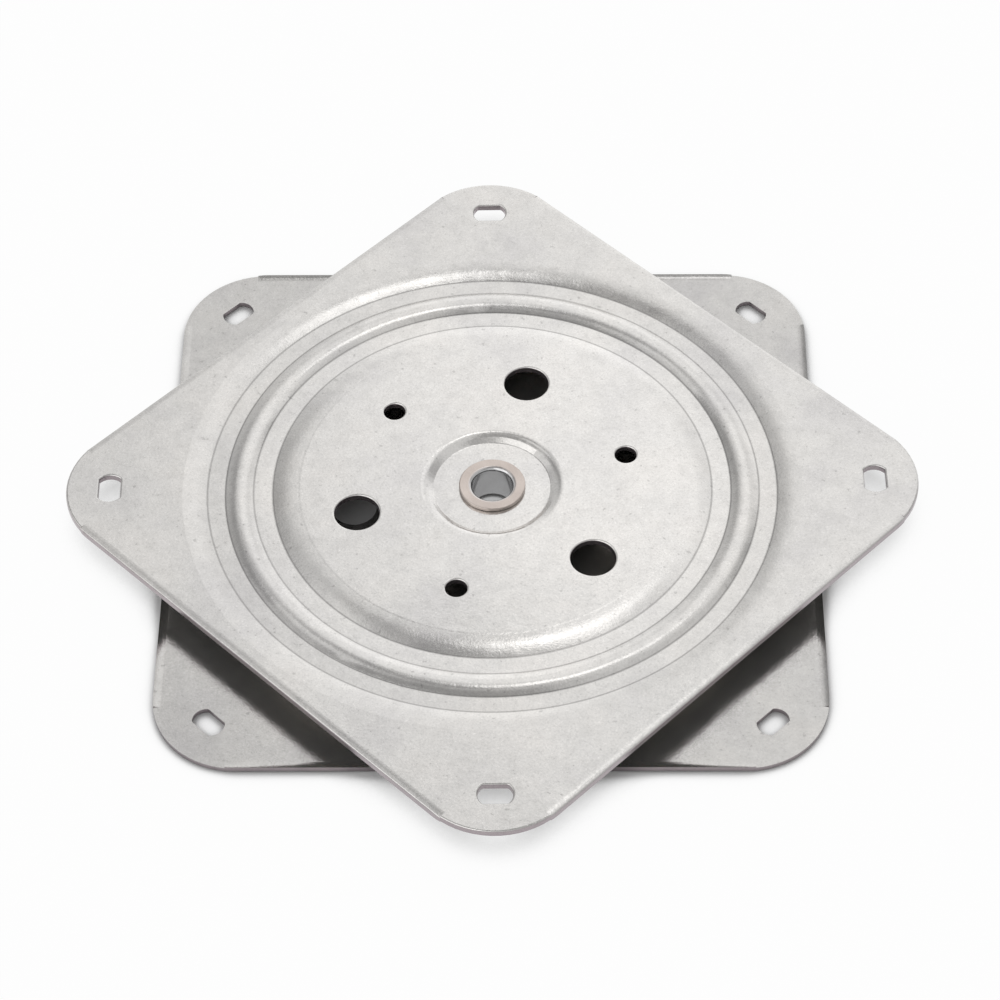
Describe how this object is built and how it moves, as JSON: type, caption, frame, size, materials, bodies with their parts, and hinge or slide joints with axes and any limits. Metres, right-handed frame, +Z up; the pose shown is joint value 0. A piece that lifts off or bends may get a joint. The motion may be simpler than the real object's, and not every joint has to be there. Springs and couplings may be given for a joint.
{
  "type": "lazy susan bearing",
  "caption": "Square turntable bearing: two pressed steel plates that turn on a caged ball race, held together by a hollow centre rivet, with slotted corners for screws.",
  "frame": {"origin": "centre of the bearing on the underside of the lower plate, where it stands on its base", "axes": "+Z up along the turning axis, X and Y along the sides of the lower plate"},
  "size_m": [0.255, 0.255, 0.0133],
  "materials": {
    "zinc_sheet": "galvanised satin",
    "plated_rivet": "nickel plated",
    "cage_nylon": "natural nylon",
    "ball_steel": "polished"
  },
  "bodies": {
    "base": {"lower_plate": "zinc_sheet", "centre_rivet": "plated_rivet"},
    "turning_plate": {"upper_plate": "zinc_sheet"},
    "cage": {"ball_cage": "cage_nylon"},
    "ball_01": {"ball_01": "ball_steel"},
    "ball_02": {"ball_02": "ball_steel"},
    "ball_03": {"ball_03": "ball_steel"},
    "ball_04": {"ball_04": "ball_steel"},
    "ball_05": {"ball_05": "ball_steel"},
    "ball_06": {"ball_06": "ball_steel"},
    "ball_07": {"ball_07": "ball_steel"},
    "ball_08": {"ball_08": "ball_steel"},
    "ball_09": {"ball_09": "ball_steel"},
    "ball_10": {"ball_10": "ball_steel"},
    "ball_11": {"ball_11": "ball_steel"},
    "ball_12": {"ball_12": "ball_steel"},
    "ball_13": {"ball_13": "ball_steel"},
    "ball_14": {"ball_14": "ball_steel"},
    "ball_15": {"ball_15": "ball_steel"},
    "ball_16": {"ball_16": "ball_steel"},
    "ball_17": {"ball_17": "ball_steel"},
    "ball_18": {"ball_18": "ball_steel"},
    "ball_19": {"ball_19": "ball_steel"},
    "ball_20": {"ball_20": "ball_steel"},
    "ball_21": {"ball_21": "ball_steel"},
    "ball_22": {"ball_22": "ball_steel"},
    "ball_23": {"ball_23": "ball_steel"},
    "ball_24": {"ball_24": "ball_steel"}
  },
  "joints": [
    {"name": "plate_turn", "type": "hinge", "parent": "base", "child": "turning_plate", "pos_m": [0, 0, 0.0108], "axis": [0, 0, 1], "continuous": true},
    {"name": "cage_turn", "type": "hinge", "parent": "base", "child": "cage", "pos_m": [0, 0, 0.00665], "axis": [0, 0, 1], "continuous": true},
    {"name": "ball_01_roll", "type": "hinge", "parent": "cage", "child": "ball_01", "pos_m": [0.07495, 0.00987, 0.00665], "axis": [-0.9914, -0.1305, 0], "continuous": true},
    {"name": "ball_02_roll", "type": "hinge", "parent": "cage", "child": "ball_02", "pos_m": [0.06985, 0.02893, 0.00665], "axis": [-0.9239, -0.3827, 0], "continuous": true},
    {"name": "ball_03_roll", "type": "hinge", "parent": "cage", "child": "ball_03", "pos_m": [0.05998, 0.04602, 0.00665], "axis": [-0.7934, -0.6088, 0], "continuous": true},
    {"name": "ball_04_roll", "type": "hinge", "parent": "cage", "child": "ball_04", "pos_m": [0.04602, 0.05998, 0.00665], "axis": [-0.6088, -0.7934, 0], "continuous": true},
    {"name": "ball_05_roll", "type": "hinge", "parent": "cage", "child": "ball_05", "pos_m": [0.02893, 0.06985, 0.00665], "axis": [-0.3827, -0.9239, 0], "continuous": true},
    {"name": "ball_06_roll", "type": "hinge", "parent": "cage", "child": "ball_06", "pos_m": [0.00987, 0.07495, 0.00665], "axis": [-0.1305, -0.9914, 0], "continuous": true},
    {"name": "ball_07_roll", "type": "hinge", "parent": "cage", "child": "ball_07", "pos_m": [-0.00987, 0.07495, 0.00665], "axis": [0.1305, -0.9914, 0], "continuous": true},
    {"name": "ball_08_roll", "type": "hinge", "parent": "cage", "child": "ball_08", "pos_m": [-0.02893, 0.06985, 0.00665], "axis": [0.3827, -0.9239, 0], "continuous": true},
    {"name": "ball_09_roll", "type": "hinge", "parent": "cage", "child": "ball_09", "pos_m": [-0.04602, 0.05998, 0.00665], "axis": [0.6088, -0.7934, 0], "continuous": true},
    {"name": "ball_10_roll", "type": "hinge", "parent": "cage", "child": "ball_10", "pos_m": [-0.05998, 0.04602, 0.00665], "axis": [0.7934, -0.6088, 0], "continuous": true},
    {"name": "ball_11_roll", "type": "hinge", "parent": "cage", "child": "ball_11", "pos_m": [-0.06985, 0.02893, 0.00665], "axis": [0.9239, -0.3827, 0], "continuous": true},
    {"name": "ball_12_roll", "type": "hinge", "parent": "cage", "child": "ball_12", "pos_m": [-0.07495, 0.00987, 0.00665], "axis": [0.9914, -0.1305, 0], "continuous": true},
    {"name": "ball_13_roll", "type": "hinge", "parent": "cage", "child": "ball_13", "pos_m": [-0.07495, -0.00987, 0.00665], "axis": [0.9914, 0.1305, 0], "continuous": true},
    {"name": "ball_14_roll", "type": "hinge", "parent": "cage", "child": "ball_14", "pos_m": [-0.06985, -0.02893, 0.00665], "axis": [0.9239, 0.3827, 0], "continuous": true},
    {"name": "ball_15_roll", "type": "hinge", "parent": "cage", "child": "ball_15", "pos_m": [-0.05998, -0.04602, 0.00665], "axis": [0.7934, 0.6088, 0], "continuous": true},
    {"name": "ball_16_roll", "type": "hinge", "parent": "cage", "child": "ball_16", "pos_m": [-0.04602, -0.05998, 0.00665], "axis": [0.6088, 0.7934, 0], "continuous": true},
    {"name": "ball_17_roll", "type": "hinge", "parent": "cage", "child": "ball_17", "pos_m": [-0.02893, -0.06985, 0.00665], "axis": [0.3827, 0.9239, 0], "continuous": true},
    {"name": "ball_18_roll", "type": "hinge", "parent": "cage", "child": "ball_18", "pos_m": [-0.00987, -0.07495, 0.00665], "axis": [0.1305, 0.9914, 0], "continuous": true},
    {"name": "ball_19_roll", "type": "hinge", "parent": "cage", "child": "ball_19", "pos_m": [0.00987, -0.07495, 0.00665], "axis": [-0.1305, 0.9914, 0], "continuous": true},
    {"name": "ball_20_roll", "type": "hinge", "parent": "cage", "child": "ball_20", "pos_m": [0.02893, -0.06985, 0.00665], "axis": [-0.3827, 0.9239, 0], "continuous": true},
    {"name": "ball_21_roll", "type": "hinge", "parent": "cage", "child": "ball_21", "pos_m": [0.04602, -0.05998, 0.00665], "axis": [-0.6088, 0.7934, 0], "continuous": true},
    {"name": "ball_22_roll", "type": "hinge", "parent": "cage", "child": "ball_22", "pos_m": [0.05998, -0.04602, 0.00665], "axis": [-0.7934, 0.6088, 0], "continuous": true},
    {"name": "ball_23_roll", "type": "hinge", "parent": "cage", "child": "ball_23", "pos_m": [0.06985, -0.02893, 0.00665], "axis": [-0.9239, 0.3827, 0], "continuous": true},
    {"name": "ball_24_roll", "type": "hinge", "parent": "cage", "child": "ball_24", "pos_m": [0.07495, -0.00987, 0.00665], "axis": [-0.9914, 0.1305, 0], "continuous": true}
  ],
  "couplings": [
    {"joint": "cage_turn", "follows": "plate_turn", "ratio": 0.5},
    {"joint": "ball_01_roll", "follows": "plate_turn", "ratio": 8.4},
    {"joint": "ball_02_roll", "follows": "plate_turn", "ratio": 8.4},
    {"joint": "ball_03_roll", "follows": "plate_turn", "ratio": 8.4},
    {"joint": "ball_04_roll", "follows": "plate_turn", "ratio": 8.4},
    {"joint": "ball_05_roll", "follows": "plate_turn", "ratio": 8.4},
    {"joint": "ball_06_roll", "follows": "plate_turn", "ratio": 8.4},
    {"joint": "ball_07_roll", "follows": "plate_turn", "ratio": 8.4},
    {"joint": "ball_08_roll", "follows": "plate_turn", "ratio": 8.4},
    {"joint": "ball_09_roll", "follows": "plate_turn", "ratio": 8.4},
    {"joint": "ball_10_roll", "follows": "plate_turn", "ratio": 8.4},
    {"joint": "ball_11_roll", "follows": "plate_turn", "ratio": 8.4},
    {"joint": "ball_12_roll", "follows": "plate_turn", "ratio": 8.4},
    {"joint": "ball_13_roll", "follows": "plate_turn", "ratio": 8.4},
    {"joint": "ball_14_roll", "follows": "plate_turn", "ratio": 8.4},
    {"joint": "ball_15_roll", "follows": "plate_turn", "ratio": 8.4},
    {"joint": "ball_16_roll", "follows": "plate_turn", "ratio": 8.4},
    {"joint": "ball_17_roll", "follows": "plate_turn", "ratio": 8.4},
    {"joint": "ball_18_roll", "follows": "plate_turn", "ratio": 8.4},
    {"joint": "ball_19_roll", "follows": "plate_turn", "ratio": 8.4},
    {"joint": "ball_20_roll", "follows": "plate_turn", "ratio": 8.4},
    {"joint": "ball_21_roll", "follows": "plate_turn", "ratio": 8.4},
    {"joint": "ball_22_roll", "follows": "plate_turn", "ratio": 8.4},
    {"joint": "ball_23_roll", "follows": "plate_turn", "ratio": 8.4},
    {"joint": "ball_24_roll", "follows": "plate_turn", "ratio": 8.4}
  ]
}
